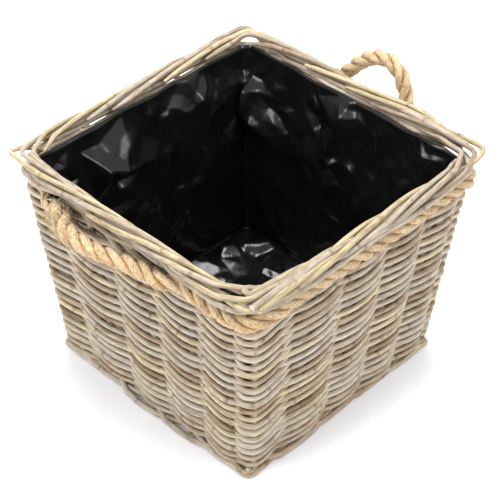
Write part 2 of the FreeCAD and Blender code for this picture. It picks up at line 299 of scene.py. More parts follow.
# -------- materials
class Look:
    """A material and its nodes. Values are sockets or constants."""

    def __init__(self, name):
        self.material = bpy.data.materials.new(name)
        self.material.use_nodes = True
        self.tree = self.material.node_tree

    def node(self, kind):
        return self.tree.nodes.new("ShaderNode" + kind)

    def fill(self, node, values):
        """Links or sets a node's inputs, by name or number."""
        for key, value in values.items():
            if isinstance(value, bpy.types.NodeSocket):
                self.tree.links.new(value, node.inputs[key])
            else:
                node.inputs[key].default_value = value
        return node

    def surface(self, values):
        """Fills in the shader, and returns the finished material."""
        self.fill(self.tree.nodes["Principled BSDF"], values)
        return self.material

    def attribute(self, name, output="Fac"):
        node = self.node("Attribute")
        node.attribute_name = name
        return node.outputs[output]

    def noise(self, vector, scale=1.0, detail=3, rough=0.6):
        values = {"Vector": vector, "Scale": scale, "Detail": detail, "Roughness": rough}
        return self.fill(self.node("TexNoise"), values).outputs["Fac"]

    def grain_noise(self, along, across, detail, rough=0.6):
        """Noise in a rod's own coordinates, with one scale along it and one across it."""
        values = {"Vector": self.attribute("grain", "Vector"), "Scale": (along, across, across)}
        vector = self.fill(self.node("Mapping"), values).outputs["Vector"]
        return self.noise(vector, detail=detail, rough=rough)

    def ramp(self, value, stops):
        """A colour for a value. A stop's colour is three numbers, or one for a grey."""
        node = self.node("ValToRGB")
        points = node.color_ramp.elements
        while len(points) < len(stops):
            points.new(0.5)
        for point, (place, colour) in zip(points, stops):
            point.position = place
            point.color = (*colour, 1) if isinstance(colour, tuple) else (colour, colour, colour, 1)
        return self.fill(node, {"Fac": value}).outputs["Color"]

    def mix(self, kind, share, one, two):
        node = self.node("Mix")
        node.data_type = "RGBA"
        node.blend_type = kind
        share_input, one_input, two_input = [n for n, socket in enumerate(node.inputs) if socket.enabled]
        self.fill(node, {share_input: share, one_input: one, two_input: two})
        return [socket for socket in node.outputs if socket.enabled][0]

    def tint(self, colour, share, value, stops):
        """The colour multiplied, by a share, with a ramp over a value."""
        return self.mix("MULTIPLY", share, colour, self.ramp(value, stops))

    def math(self, kind, *values):
        node = self.node("Math")
        node.operation = kind
        return self.fill(node, dict(enumerate(values))).outputs["Value"]

    def bump(self, height, strength, distance):
        values = {"Height": height, "Strength": strength, "Distance": distance}
        return self.fill(self.node("Bump"), values).outputs["Normal"]


def rattan(name, stops, dirt):
    """Unpeeled rattan: a tone for each rod, long fibre streaks, mottling, dark specks, leaf scars, and
    painted shade with some dirt on the underside of each rod.
    """
    look = Look(name)
    fibre = look.grain_noise(13, 480, 5, 0.70)
    patch = look.grain_noise(26, 90, 3)
    speck = look.grain_noise(130, 420, 2)
    worn = look.grain_noise(70, 380, 3, 0.65)
    drift = look.math("MULTIPLY_ADD", patch, 0.42, -0.21)
    colour = look.ramp(look.math("ADD", look.attribute("tone"), drift), stops)
    colour = look.tint(colour, 0.75, fibre, [(0.34, 0.62), (0.5, 0.96), (0.68, 1.16)])
    colour = look.tint(colour, 0.8, worn, [(0.34, (0.66, 0.58, 0.50)), (0.50, 1.0), (0.68, 1.18)])
    colour = look.tint(colour, dirt, speck, [(0.24, (0.40, 0.30, 0.20)), (0.36, 1.0)])
    colour = look.tint(colour, dirt, patch, [(0.28, (0.52, 0.43, 0.34)), (0.46, 1.0)])
    colour = look.tint(colour, 0.75, look.attribute("knot"), [(0.25, 1.0), (0.9, (0.45, 0.34, 0.25))])
    # Painted shade, with some dirt: the underside of each rod is darker.
    colour = look.tint(colour, 0.9, look.attribute("under"),
                       [(0.20, 1.0), (0.50, (0.80, 0.71, 0.61)), (0.82, (0.26, 0.19, 0.14))])
    pith = look.ramp(speck, [(0.35, (0.26, 0.19, 0.12)), (0.6, (0.60, 0.50, 0.35))])
    height = look.math("MULTIPLY_ADD", speck, 0.5, fibre)
    return look.surface({"Base Color": look.mix("MIX", look.attribute("cut_end"), colour, pith),
                         "Roughness": look.math("MULTIPLY_ADD", fibre, 0.25, 0.50),
                         "Specular IOR Level": 0.35,
                         "Normal": look.bump(height, 0.55, 0.0006)})


def rope_material():
    """Hairy manila: golden fibres that follow the yarns, with painted shade that makes it darker in the
    grooves between the strands and paler on the crests.
    """
    look = Look("manila_rope")
    fibre = look.grain_noise(240, 1900, 4, 0.7)
    patch = look.grain_noise(45, 90, 2)
    coarse = look.grain_noise(230, 620, 3)
    shade = look.math("MULTIPLY_ADD", patch, 0.5, look.math("MULTIPLY", look.attribute("tone"), 0.5))
    colour = look.ramp(shade, [(0.2, (0.50, 0.33, 0.16)), (0.45, (0.66, 0.49, 0.28)),
                               (0.75, (0.76, 0.62, 0.40))])
    colour = look.tint(colour, 1.0, coarse, [(0.32, (0.50, 0.34, 0.20)), (0.5, 0.95), (0.66, 1.15)])
    colour = look.tint(colour, 0.75, fibre, [(0.3, (0.52, 0.40, 0.28)), (0.5, 0.95), (0.7, 1.2)])
    inside = look.attribute("knot")  # in the rope, how near a point is to its middle
    # Painted shade: the deeper a point lies in the rope, the darker it is, so the grooves between the
    # strands look shaded.
    colour = look.tint(colour, 1.0, inside,
                       [(0.10, 1.0), (0.30, (0.86, 0.70, 0.50)), (0.5, (0.50, 0.30, 0.15))])
    height = look.math("MULTIPLY_ADD", coarse, 1.0, fibre)
    return look.surface({"Base Color": colour, "Roughness": 0.85, "Specular IOR Level": 0.2,
                         "Sheen Weight": 0.25, "Normal": look.bump(height, 1.0, 0.0014)})


def film_material():
    """Glossy black film with fine creases."""
    look = Look("black_film")
    place = look.node("TexCoord").outputs["Object"]
    fine = look.noise(place, scale=55, detail=5)
    broad = look.noise(place, scale=16)
    return look.surface({"Base Color": look.ramp(broad, [(0.3, 0.003), (0.7, 0.006)]),
                         "Roughness": look.math("MULTIPLY_ADD", broad, 0.16, 0.12),
                         "Specular IOR Level": 0.36, "Normal": look.bump(fine, 0.16, 0.003)})


WEAVER_TONES = [(0.0, (0.185, 0.118, 0.070)), (0.2, (0.31, 0.222, 0.143)), (0.42, (0.385, 0.312, 0.232)),
                (0.62, (0.43, 0.375, 0.308)), (0.80, (0.44, 0.365, 0.240)), (1.0, (0.51, 0.428, 0.285))]
BORDER_TONES = [(0.0, (0.19, 0.132, 0.078)), (0.3, (0.28, 0.218, 0.152)), (0.55, (0.350, 0.298, 0.235)),
                (0.75, (0.350, 0.282, 0.165)), (1.0, (0.43, 0.355, 0.226))]
weaver_rattan = rattan("weaver_rattan", WEAVER_TONES, dirt=0.65)
stake_rattan = rattan("stake_rattan", BORDER_TONES, dirt=0.55)
manila = rope_material()
black_film = film_material()

# -------- woven wall
row_drift = waves(7, 0.0011, 9, 3)
swing_drift = waves(6, 0.0006, 12, 5)
JOIN_LIFT = 0.0022  # how far a rod's end moves up or down beside the next rod
JOIN_REACH = 0.16  # over this much of a side
JOIN_PAST = (0.04, 0.09)  # how far the two ends reach past their stake, in sides
WEAVER_TONE, WEAVER_TONE_SPREAD = 0.54, 0.23
WEAVER_SIZES = (0.84, 1.16)  # least and most, as shares of ROD_R
ROW_SHIFT, ROW_RIPPLE = 0.0004, 0.0006
CLOSER = 0.08  # how much closer together the rows are at the floor
BANDS = ((0, 13, "weave_lower", ("weave_wall_1", "weave_wall_2")),
         (13, 26, "weave_middle", ("weave_wall_3",)), (26, ROWS, "weave_upper", ("weave_wall_4",)))


def swing(q, row):
    """How far out a weaver's middle is: it goes outside and inside the stakes by turns."""
    q = q % 4
    index = np.searchsorted(STAKES_Q, q, side="right") - 1
    before = STAKES_Q[index] - np.where(index < 0, 4, 0)
    after = STAKES_Q[(index + 1) % STAKE_COUNT] + np.where(index == STAKE_COUNT - 1, 4, 0)
    share = (q - before) / (after - before)
    sign = np.where((index + row) % 2 == 0, 1.0, -1.0)
    tight = 1 - CORNER_TIGHT * hump(q - np.round(q), CORNER_TIGHT_REACH)
    return WEAVE_SWING * sign * np.cos(math.pi * share) * tight


def weaver(tubes, row, z, start, end, radius, tone):
    """One rod of a row from q = start to end. It starts above the rod that it meets and ends below it."""
    q = np.arange(start, end, ROD_STEP / (2 * wall_mid(z)))
    height = z + row_drift(q, z) + rng.uniform(-ROW_SHIFT, ROW_SHIFT)
    height = height + ROW_RIPPLE * np.sin(q * rng.uniform(14, 24) + rng.uniform(0, 6))
    height = height + JOIN_LIFT * unit(1 - (q - start) / JOIN_REACH) ** 2
    height = height - JOIN_LIFT * unit(1 - (end - q) / JOIN_REACH) ** 2
    out = swing(q, row) + swing_drift(q, z) * np.cos(q * 9)
    flat, _ = ring(q, wall_mid(height) + out, WALL_BEND)
    line = even_line(np.column_stack([flat, height - out * LEAN]), ROD_STEP)
    along = line_length(line)[-1]
    size = rod_radius(line, radius, (0.35, 0.35), 0.03)
    tubes.add(line, size, tone, sides=10, knots=random_knots(along), oval=rng.uniform(0.94, 1.06))


def weave_row(tubes, row, z):
    """A full row: one or two rods, whose ends meet side by side at a stake."""
    joins = sorted(rng.choice(STAKE_COUNT, size=rng.integers(1, 3), replace=False))
    for index, stake in enumerate(joins):
        following = joins[(index + 1) % len(joins)]
        start = STAKES_Q[stake] - rng.uniform(*JOIN_PAST)
        end = STAKES_Q[following] + rng.uniform(*JOIN_PAST) + (4 if following <= stake else 0)
        tone = np.clip(rng.normal(WEAVER_TONE, WEAVER_TONE_SPREAD), 0.03, 0.97)
        weaver(tubes, row, z, start, end, ROD_R * rng.uniform(*WEAVER_SIZES), tone)


def row_height(row):
    """Height of a row's middle: the rows are a little closer together near the floor."""
    share = (row + 0.5) / ROWS
    return WALL_Z[0] + (WALL_Z[1] - WALL_Z[0]) * share * (1 - CLOSER + CLOSER * share)


def woven_wall():
    for first, last, name, nodes in BANDS:
        tubes = Tubes()
        for row in range(first, last):
            weave_row(tubes, row, row_height(row))
        tubes.build(name, weaver_rattan, "basket", "weaver_rattan", nodes)


# The rods above the rope: how far out and how high each runs. Each goes once round, with a lap.
COURSE_RODS = ((0.2075, 0.2990), (0.2040, 0.3048), (0.1975, 0.3000))
COURSE_SIDES, COURSE_SHIFT = 4.2, 0.9  # length of a rod, and where the next one starts, in sides
COURSE_WAVE, COURSE_BAYS = 0.0011, 0.0016  # how far it strays, and how far it weaves in and out
COURSE_BEND, COURSE_CORNER_PULL = 0.022, 0.0085
HANDLE_SPANS = ((0.16, 0.70), (2.19, 2.86))  # where the rods leave room for a handle
HANDLE_ROOM, HANDLE_FADE = 0.0065, 0.05  # how much, and over what length it starts, in sides
# Rods behind the handles and the thin stretch of the rope: side towards -Y or +Y, reach along x, heights.
BEHIND_HANDLE = (0.2765, 0.2835, 0.2905, 0.2965)
FILLERS = ((-1, -0.124, 0.080, BEHIND_HANDLE), (1, -0.126, 0.120, BEHIND_HANDLE),
           (-1, -0.190, -0.128, (0.2755, 0.2930)))
FILLER_OUT, FILLER_SWING, FILLER_LENGTH = 0.1945, 0.0042, 0.18  # how far out, how far in and out, about
FILLER_STAGGER = (0.006, 0.004)  # how much shorter the next one up is at its two ends


def course_rod(tubes, row, out, z):
    """A rod that stands out as far as the rope and covers its upper edge."""
    q = np.arange(0, COURSE_SIDES, 0.01)
    wave = waves(5, COURSE_WAVE, 14, 40 + row)
    stake = np.interp(q % 4, STAKES_Q, np.arange(STAKE_COUNT))
    bays = COURSE_BAYS * np.cos(math.pi * stake + row * math.pi)
    place = (q + COURSE_SHIFT * row) % 4
    held_in = corner_pull(place, np.full(4, COURSE_CORNER_PULL))
    for first, last in HANDLE_SPANS:
        held_in = held_in + HANDLE_ROOM * unit(np.minimum(place - first, last - place) / HANDLE_FADE)
    flat, _ = ring(place, out + bays + wave(q, 0.2) - held_in, COURSE_BEND)
    line = even_line(np.column_stack([flat, z + wave(q, 0.9)]), ROD_STEP)
    radius = rod_radius(line, ROD_R, (0.3, 0.3))
    tubes.add(line, radius, rng.uniform(0.3, 0.7), knots=random_knots(line_length(line)[-1]))


def filler_rod(tubes, row, z, face, start, end):
    x = np.linspace(start + FILLER_STAGGER[0] * row, end - FILLER_STAGGER[1] * row, 60)
    out = FILLER_OUT + FILLER_SWING * np.sin(x * 40 + row * math.pi)
    line = np.column_stack([x, face * out, z + 0.0010 * np.sin(x * 33 + row)])
    radius = rod_radius(line, ROD_R, (0.4, 0.4))
    tubes.add(line, radius, rng.uniform(0.2, 0.6), knots=random_knots(FILLER_LENGTH))


def top_courses():
    tubes = Tubes()
    for row, (out, z) in enumerate(COURSE_RODS):
        course_rod(tubes, row, out, z)
    for face, start, end, heights in FILLERS:
        for row, z in enumerate(heights):
            filler_rod(tubes, row, z, face, start, end)
    nodes = ["top_course_%d" % side for side in SIDES]
    tubes.build("top_courses", weaver_rattan, "basket", "weaver_rattan", nodes)


# -------- stakes, rolled border and foot border
# A stake end winds over the border as it passes four more stakes, from low outside to low inside.
ROLL_STAKES = (0.35, 3.75)  # where the winding starts and ends, in stakes passed
ROLL_ANGLES = (math.radians(-28), math.radians(205))
ROLL_R = 0.0079
ROLL_Z = RIM_TOP - ROLL_R - 0.0042
RIM_MID = RIM_HALF - 0.0125
RIM_BENDS = (0.004, 0.009)  # corner radii of the rods in the border
ROLL_WANDER = 0.0008
STAKE_TONE, STAKE_TONE_SPREAD = 0.55, 0.24
THINNER = 0.14  # how much thinner a stake is at its far end
FIRST_EVEN_Q = 0.1  # where the first stake would be, if all were even
UPRIGHT_Z = (0.001, course_high.z - 0.008)  # where a stake stands upright
CORNER_REACH = 0.13  # how far from a corner its cutting starts, in sides
USUAL_PULL = (0.003, 0.011)  # how far a rod cuts a corner
# How far chosen rods cut a corner (the corner before side 1, 2, 3 and 4), by stake number.
CORNER_PULLS = {0: {19: 0.0040, 18: 0.0085, 17: 0.0115, 16: 0.0140},
                1: {1: 0.0090, 2: 0.0160, 3: 0.0110, 4: 0.0050},
                2: {9: 0.0045, 8: 0.0090, 7: 0.0120, 6: 0.0110},
                3: {14: 0.0040, 13: 0.0100, 12: 0.0060, 11: 0.0090}}
CORNER_LIFTS = {19: 0.0085, 9: 0.0100, 4: 0.0030, 14: 0.0050}  # outer rods that cross a corner high up
LIFT_REACH, LIFT_STAKES = 0.10, 2.5  # how far from the corner, and up to how many stakes passed
BOWS = {10: (0.9, 0.0110), 15: (1.0, 0.0040), 1: (0.8, 0.0020)}  # rods that stand away: where, and how far
BOW_REACH = 0.5
ENDS = {1: 3.45, 0: 3.60, 16: 3.40, 6: 3.50}  # where chosen rods are cut, in stakes passed
CORE_BEND = 0.010
# Rods laid on the border by side, and two under those of side 3 that close it: places from and to,
# across (out) and above at both ends, tone.
LAID_RODS = {1: [(0.018, 0.36, (-0.0110, 0.0020), (0.0070, 0.0080), 0.45)],
             2: [(1.008, 1.46, (0.0050, -0.0010), (0.0085, 0.0090), 0.50),
                 (1.034, 1.40, (0.0085, 0.0030), (0.0020, 0.0070), 0.78),
                 (0.975, 1.30, (-0.0150, -0.0040), (0.0060, 0.0070), 0.62)],
             3: [(2.040, 2.42, (-0.0040, 0.0020), (0.0085, 0.0085), 0.55),
                 (2.060, 2.92, (-0.0035, -0.0035), (-0.0035, -0.0035), 0.50),
                 (2.090, 2.88, (0.0035, 0.0035), (-0.0035, -0.0035), 0.45)]}
LAID_BEND, LAID_DIVE = 0.004, 0.012  # corner radius, and how far the far end dives into the border
# A stake's lower end in the foot border: stakes passed, place across, height above the floor.
FOOT = [(0.0, 0.0, 0.016), (0.12, 0.0050, 0.0100), (0.4, 0.0125, 0.0050), (0.8, 0.0145, 0.0040),
        (1.2, 0.0110, 0.0044), (1.6, 0.0030, 0.0052), (1.95, -0.0050, 0.0050), (2.2, -0.0080, 0.0052)]
FOOT_BEND, FOOT_R = 0.004, 0.0036
# The foot rods draw together by a corner: the reach in sides, the share, and how far out (at the front one).
FOOT_CORNER_REACH, FOOT_CORNER_HOLD = 0.06, 0.8
FOOT_CORNER_OUT, FRONT_CORNER_OUT = 0.0020, 0.0060


def stake_q(number):
    """The place of a stake by its number, which may run past the last one and round again."""
    whole = np.floor(number).astype(int)
    here = STAKES_Q[whole % STAKE_COUNT] + 4 * (whole // STAKE_COUNT)
    ahead = STAKES_Q[(whole + 1) % STAKE_COUNT] + 4 * ((whole + 1) // STAKE_COUNT)
    return here + (ahead - here) * (number - whole)


def roll_q(number):
    """Places round the border: the stakes' own, evened out half way."""
    evenly = FIRST_EVEN_Q + 4 * number / STAKE_COUNT
    return 0.5 * stake_q(number) + 0.5 * evenly


def corner_pull(q, amounts):
    """How far a rod cuts each corner: most at the corner itself, and evenly less away from it."""
    nearest = np.round(q)
    amount = np.array([amounts[int(corner) % 4] for corner in nearest])
    return amount * unit(1 - np.abs(q - nearest) / CORNER_REACH)


def rolled_end(number):
    """The upper end of a stake, wound along the border to its cut end inside."""
    last = ENDS.get(number, ROLL_STAKES[1] + rng.uniform(-0.7, 0.1))
    passed = np.linspace(ROLL_STAKES[0], last, 90)
    share = (passed - ROLL_STAKES[0]) / (ROLL_STAKES[1] - ROLL_STAKES[0])
    angle = ROLL_ANGLES[0] + (ROLL_ANGLES[1] - ROLL_ANGLES[0]) * share
    places = roll_q(number + passed)
    wander = ROLL_WANDER * np.sin(places * rng.uniform(9, 16) + rng.uniform(0, 6))
    amounts = rng.uniform(*USUAL_PULL, 4)
    for corner, pulls in CORNER_PULLS.items():
        amounts[corner] = pulls.get(number, amounts[corner])
    pull = corner_pull(places, amounts)
    bow_place, bow = BOWS.get(number, (1.0, rng.uniform(-0.0005, 0.0015)))
    across = (ROLL_R + wander) * np.cos(angle) - pull + bow * hump(passed - bow_place, BOW_REACH)
    lift = CORNER_LIFTS.get(number, 0.0) * hump(places - np.round(places), LIFT_REACH)
    above = (ROLL_R + wander) * np.sin(angle) + lift * (passed < LIFT_STAKES)
    flat, _ = ring(places, RIM_MID + across, rng.uniform(*RIM_BENDS))
    return np.column_stack([flat, ROLL_Z + above])


def stake_rod(tubes, number):
    """One stake: up through the weave, then along the border."""
    heights = np.linspace(*UPRIGHT_Z, 12)
    flat, _ = ring(np.full(12, STAKES_Q[number]), wall_mid(heights), WALL_BEND)
    line = smooth_line(np.vstack([np.column_stack([flat, heights]), rolled_end(number)]), ROD_STEP)
    along = line_length(line)
    length = along[-1]
    size = rod_radius(line, STAKE_R * rng.uniform(0.90, 1.10), (0, 0.4))
    size = size * (1.0 - THINNER * (along / length))
    tone = np.clip(rng.normal(STAKE_TONE, STAKE_TONE_SPREAD), 0.05, 0.98)
    tubes.add(line, size, tone, sides=12, knots=random_knots(length), first=(1, 0, 0))


def core_rod(tubes, side):
    """The stake end in the middle of the border, which the others wind round."""
    q = np.linspace(side - 1 + rng.uniform(0.05, 0.09), side - rng.uniform(0.05, 0.12), 60)
    flat, _ = ring(q, RIM_MID + 0.0015 * np.sin(q * 9 + side), CORE_BEND)
    line = np.column_stack([flat, ROLL_Z + 0.0010 + 0.0012 * np.sin(q * 13)])
    radius = rod_radius(line, STAKE_R, (0.3, 0.3))
    tubes.add(line, radius, 0.4, sides=10, knots=random_knots(0.3))


def laid_rod(tubes, start, end, across, above, tone):
    """A rod laid on the border, which starts with a cut end by a corner and dives in among the others."""
    share = np.linspace(0, 1, 40)
    out = RIM_MID + across[0] + (across[1] - across[0]) * share
    flat, _ = ring(start + (end - start) * share, out, LAID_BEND)
    height = ROLL_Z + above[0] + (above[1] - above[0]) * share - LAID_DIVE * share ** 6
    line = even_line(np.column_stack([flat, height]), ROD_STEP)
    tubes.add(line, rod_radius(line, STAKE_R, (0, 0.3)), tone, sides=12, knots=random_knots(0.16))


def stake_numbers(side):
    return range(STAKES_A_SIDE * (side - 1), STAKES_A_SIDE * side)


def rolled_border():
    for side in SIDES:
        tubes = Tubes()
        for number in stake_numbers(side):
            stake_rod(tubes, number)
        for rod in LAID_RODS.get(side, ()):
            laid_rod(tubes, *rod)
        core_rod(tubes, side)
        nodes = ["stake_%d_%d" % (side, count) for count in range(1, STAKES_A_SIDE + 1)]
        nodes += ["border_%s_%d" % (part, side) for part in ("outer", "inner", "top")]
        tubes.build("stakes_and_border_%d" % side, stake_rattan, "basket", "border_rattan", nodes)


def corner_peg(tubes, side):
    """The cut end of a corner stake, which shows under the corner before this side."""
    out = wall_mid(0) + (0.0045 if side == 2 else 0.0015)
    flat, _ = ring(np.array([side - 1.0, side - 1.0]), out, FOOT_BEND)
    line = even_line(np.column_stack([flat, (0.012, 0.0004)]), 0.003)
    tubes.add(line, FOOT_R, 0.25, first=(1, 0, 0))


def foot_rod(tubes, number):
    """The lower end of a stake, laid along the bottom edge."""
    passed, across, height = np.array(FOOT).T
    places = roll_q(number + passed)
    across = across * rng.uniform(0.30, 1.05) + rng.normal(0, 0.0006, len(FOOT))
    corner = hump(places - np.round(places), FOOT_CORNER_REACH)
    out = np.where(np.round(places) % 4 == 1, FRONT_CORNER_OUT, FOOT_CORNER_OUT)
    across = across * (1 - FOOT_CORNER_HOLD * corner) + out * corner
    fine, coarse = np.linspace(0, 1, 60), np.linspace(0, 1, len(FOOT))
    places, across, height = (np.interp(fine, coarse, values) for values in (places, across, height))
    flat, _ = ring(places, wall_mid(0.004) + across, FOOT_BEND)
    line = smooth_line(np.column_stack([flat, height]), ROD_STEP)
    radius = rod_radius(line, FOOT_R, (0, 0.3))
    tone = unit(rng.normal(0.5, 0.2))
    tubes.add(line, radius, tone, sides=10, knots=random_knots(line_length(line)[-1]))


def foot_border():
    for side in SIDES:
        tubes = Tubes()
        for number in stake_numbers(side):
            foot_rod(tubes, number)
        corner_peg(tubes, side)
        name, nodes = "foot_rods_%d" % side, ["foot_border_%d" % side]
        tubes.build(name, weaver_rattan, "basket", "weaver_rattan", nodes)


# -------- base
BASE_STICKS = ["base_stick_%d" % number for number in range(1, 6)]
BASE_PITCH = 2 * ROD_R * 0.97  # from one rod of the base to the next
BASE_ROD_R = ROD_R * 0.93
BASE_SWING = 0.0046


def woven_base():
    """The sticks that run through the base, and the rods woven over and under them."""
    low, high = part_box("base_weave")
    middle = (low.z + high.z) / 2
    half = high.x
    sticks = [sum(corner.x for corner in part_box(name)) / 2 for name in BASE_STICKS]
    tubes = Tubes()
    for x in sticks:
        line = even_line(np.array([[x, -half, middle], [x + 0.001, 0, middle], [x, half, middle]]), 0.006)
        tubes.add(line, rod_radius(line, STAKE_R), rng.uniform(0.2, 0.8), first=(1, 0, 0))
    tubes.build("base_sticks", stake_rattan, "basket", "stake_rattan", BASE_STICKS)
    tubes = Tubes()
    rows = int(2 * (half - ROD_R) / BASE_PITCH)
    x = np.linspace(-half, half, 80)
    spread = sticks[1] - sticks[0]
    for row in range(rows):
        y = (row - (rows - 1) / 2) * BASE_PITCH
        wave = np.cos(math.pi * (x - sticks[0]) / spread) * (1 if row % 2 else -1)
        line = np.column_stack([x, y + 0.0004 * np.sin(x * 30 + row), middle + BASE_SWING * wave])
        radius = rod_radius(line, BASE_ROD_R)
        tone = unit(rng.normal(0.45, 0.2))
        tubes.add(line, radius, tone, sides=8, knots=random_knots(2 * half))
    tubes.build("base_weavers", weaver_rattan, "basket", "weaver_rattan", ["base_weave"])


# -------- rope
# Routes of the handles: place along the side, off the hinge line (front), or outward and up (back).
FRONT_ROUTE = [(-0.118, 0), (-0.100, 0), (-0.084, 0.014), (-0.046, 0.015),
               (0.008, 0.006), (0.040, 0), (0.058, 0)]
FRONT_LEAN = math.radians(115)
BACK_ROUTE = [(-0.122, 0, 0), (-0.104, 0, 0), (-0.078, 0.009, 0.003), (-0.046, 0.012, 0.020),
              (-0.022, 0.012, 0.052), (0.008, 0.012, 0.074), (0.032, 0.012, 0.077), (0.050, 0.012, 0.064),
              (0.061, 0.012, 0.030), (0.069, 0.006, 0.008), (0.090, 0, 0), (0.105, 0, 0)]
ROPE_STEP = 0.0122  # how far the hinge line stands off the rope course
ROPE_STEP_RUN = 0.022  # the length in which it steps out
ROPE_STEP_END = 0.012  # how far past a handle the hinge line goes on
ROPE_BEND = 0.024  # corner radius of the rope course
ROPE_DIP = (0.84, 0.10, 0.0050)  # it dips before the front corner: where, its reach, how far
ROPE_DEEP = (4.05, 0.09, 0.0060)  # and sinks in by the left corner, likewise
ROPE_SPACING = 0.0024  # length of one mesh step along the rope
ROPE_SINK = 0.0030  # the weave pulls the rope in between the handles
ROPE_LAY = 0.072  # length of one turn of a strand
LUMP = 0.42  # the rope opens up where it leaves the weave at the front
FRAYED = 0.42  # how much thinner it is from there back to the corner
LUMP_START, LUMP_RISE, LUMP_FALL = -0.115, 0.007, 0.045  # along x
THIN_Y, THIN_RISE = 0.15, 0.04  # it is thin only on the side towards -Y, past this
STRAND_R = ROPE_R * 0.478
STRAND_SIDES = 40
STRAND_TONES = (0.35, 0.5, 0.65)
YARNS = 8  # yarns in a strand
YARN_RIDGE = 0.07  # how far they stand out, as a share of its radius
YARN_LAY = 0.052  # length of one turn of a yarn in its strand
HAIRS_PER_METRE = 1600
HAIR_R, HAIR_REACH = 0.00020, (0.004, 0.011)
HINGE_REACH = 0.009  # half the length of rope that twists when a handle turns


def course(q_start, q_end, count):
    """The rope between two places in the weave."""
    q = np.linspace(q_start, q_end, count)
    flat, normal = ring(q, ROPE_HALF - ROPE_SINK, ROPE_BEND)
    (dip_q, dip_reach, dip), (deep_q, deep_reach, deep) = ROPE_DIP, ROPE_DEEP
    height = ROPE_Z + 0.0012 * np.sin(q * 11.0) - dip * hump(q - dip_q, dip_reach)
    flat = flat - normal * (deep * hump(q - deep_q, deep_reach))[:, None]
    return [(*point, z) for point, z in zip(flat, height)]


def on_side(side, x, out, up):
    """A point beside the rope course of side 1 or 3, with x along world X."""
    y = ROPE_HALF + out
    return (x, -y if side == 1 else y, ROPE_Z + up)


def rope_loop():
    """Control points of the whole rope, anticlockwise from above, from the middle of the front handle."""
    lead, run, step = ROPE_STEP_END, ROPE_STEP_RUN, ROPE_STEP
    lean_out, lean_up = math.sin(FRONT_LEAN), math.cos(FRONT_LEAN)
    front = [on_side(1, x, step + off * lean_out, off * lean_up) for x, off in FRONT_ROUTE]
    back = [on_side(3, x, step + out, up) for x, out, up in reversed(BACK_ROUTE)]
    front_left, front_right = FRONT_ROUTE[0][0] - lead, FRONT_ROUTE[-1][0] + lead
    back_left, back_right = BACK_ROUTE[0][0] - lead, BACK_ROUTE[-1][0] + lead
    right = course(side_place(1, front_right + run), side_place(3, back_right + run), 44)
    left = course(side_place(3, back_left - run), 4 + side_place(1, front_left - run), 44)
    middle = len(front) // 2
    return (front[middle:] + [on_side(1, front_right, step, 0)] + right
            + [on_side(3, back_right, step, 0)] + back + [on_side(3, back_left, step, 0)] + left
            + [on_side(1, front_left, step, 0)] + front[:middle])


def side_place(side, x):
    """The place round the basket of a point of side 1 or 3 at world X = x."""
    half = ROPE_HALF - ROPE_SINK
    return 0.5 + x / (2 * half) if side == 1 else 2.5 - x / (2 * half)


def strand_lines(line):
    """The middles of the three strands of a closed rope."""
    along = line_length(line)
    tangent, normal, across = carried_frame(line)
    gap = math.atan2(normal[0].dot(np.cross(tangent[0], normal[-1])), normal[0].dot(normal[-1]))
    turns = round(along[-1] / ROPE_LAY)
    phase = (2 * math.pi * turns - gap) * along / along[-1]
    offset = ((ROPE_R - STRAND_R) * rope_swell(line))[:, None]
    strands = []
    for strand in range(3):
        angle = phase + strand * 2 * math.pi / 3
        strands.append(line + offset * (np.cos(angle)[:, None] * normal + np.sin(angle)[:, None] * across))
    return strands


def rope_swell(line):
    """The rope's thickness as a share: it opens up where it comes out of the weave at the front."""
    past = line[:, 0] - LUMP_START
    rise = unit(past / LUMP_RISE) * np.exp(-np.clip(past - LUMP_RISE, 0, None) / LUMP_FALL)
    thin = unit(-past / LUMP_RISE) * unit((-line[:, 1] - THIN_Y) / THIN_RISE)
    return 1 + LUMP * rise * (line[:, 1] < 0) - FRAYED * thin


ROOTS = {"front_right": (1, FRONT_ROUTE[-1][0], 1), "back_right": (3, BACK_ROUTE[-1][0], 1),
         "back_left": (3, BACK_ROUTE[0][0], -1), "front_left": (1, FRONT_ROUTE[0][0], -1)}


def root_point(root, shift):
    """A point of a handle's root on the hinge line, shift metres outside its end (inside when negative)."""
    side, x, sign = ROOTS[root]
    return np.array(on_side(side, x + sign * shift, ROPE_STEP, 0))


def rope_tubes(strands, line, index):
    """The strands and loose fibres of the rope between two points, given by their numbers."""
    tubes = Tubes()
    swell = rope_swell(line[index])
    for tone, centre in zip(STRAND_TONES, strands):
        tubes.add(centre[index], STRAND_R * swell, tone, sides=STRAND_SIDES,
                  twist=-2 * math.pi / YARN_LAY, ridge=YARN_RIDGE)
        # The strand's two caps come after it, so its own part is the third from the end.
        points = tubes.verts[-3].reshape(len(index), STRAND_SIDES, 3)
        # How deep each point lies in the rope, which the rope material turns into painted shade in the
        # grooves.
        apart = np.linalg.norm(points - line[index][:, None, :], axis=2)
        tubes.values["knot"][-3] = (1 - apart / (ROPE_R * swell[:, None])).ravel()
    rope_hairs(tubes, line[index], swell)
    return tubes


def rope_hairs(tubes, line, swell):
    """Loose fibres that stand off the rope."""
    length = line_length(line)[-1]
    tangent, normal, across = carried_frame(line)
    chance = swell ** 6 / (swell ** 6).sum()
    for spot in rng.choice(len(line), int(length * HAIRS_PER_METRE * swell.max() ** 2), p=chance):
        angle = rng.uniform(0, 2 * math.pi)
        out = math.cos(angle) * normal[spot] + math.sin(angle) * across[spot]
        along = tangent[spot] * rng.choice((-1, 1))
        reach = rng.uniform(*HAIR_REACH) * swell[spot]
        lean = rng.uniform(0.15, 0.7)
        start = line[spot] + out * ROPE_R * swell[spot] * rng.uniform(0.86, 0.97)
        sway = np.cross(out, along) * rng.normal(0, 0.4)
        share = np.linspace(0, 1, 5)[:, None]
        path = start + reach * share * (along + sway) + out * reach * lean * share * (1.15 - share) * 1.4
        tubes.add_hair(path, HAIR_R * swell[spot] ** 2, rng.uniform(0.5, 1.0))


